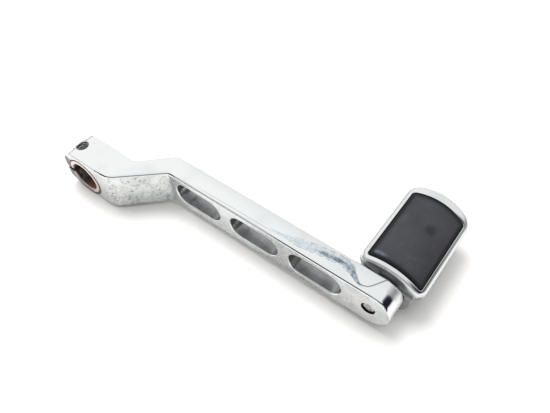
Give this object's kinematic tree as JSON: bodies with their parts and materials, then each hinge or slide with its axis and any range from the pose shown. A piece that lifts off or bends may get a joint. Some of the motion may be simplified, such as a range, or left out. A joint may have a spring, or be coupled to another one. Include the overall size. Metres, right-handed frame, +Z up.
{
  "type": "gear shift lever",
  "caption": "Cranked chrome foot lever for a motorcycle gearbox, with a split splined clamp, oblong slots and a turning toe peg with a crowned rubber pad.",
  "frame": {"origin": "centre of the shaft bore, half-way along the clamp", "axes": "+X from the clamp towards the toe peg, +Y along the shaft bore to the outboard side where the peg stands, +Z up"},
  "size_m": [0.1732, 0.0787, 0.025],
  "materials": {
    "lever_chrome": "polished chrome, pitted on the flanks",
    "sleeve_steel": "bare steel with light rust",
    "base_metal": "satin plated",
    "stud_steel": "plated steel, dull",
    "washer_steel": "spring steel",
    "bezel_chrome": "polished chrome",
    "pad_rubber": "smooth black rubber, lightly scuffed",
    "plate_steel": "zinc-plated sheet steel",
    "screw_steel": "zinc plated"
  },
  "bodies": {
    "lever": {"lever_arm": "lever_chrome", "splined_sleeve": "sleeve_steel"},
    "toe_peg": {"peg_base": "base_metal", "peg_stud": "stud_steel", "spring_washer": "washer_steel", "peg_bezel": "bezel_chrome", "pad_rubber": "pad_rubber", "backing_plate": "plate_steel", "pad_screws": "screw_steel"}
  },
  "joints": [
    {"name": "peg_turn", "type": "hinge", "parent": "lever", "child": "toe_peg", "pos_m": [0.145, 0.022, 0.0026], "axis": [0, 1, 0], "continuous": true}
  ]
}
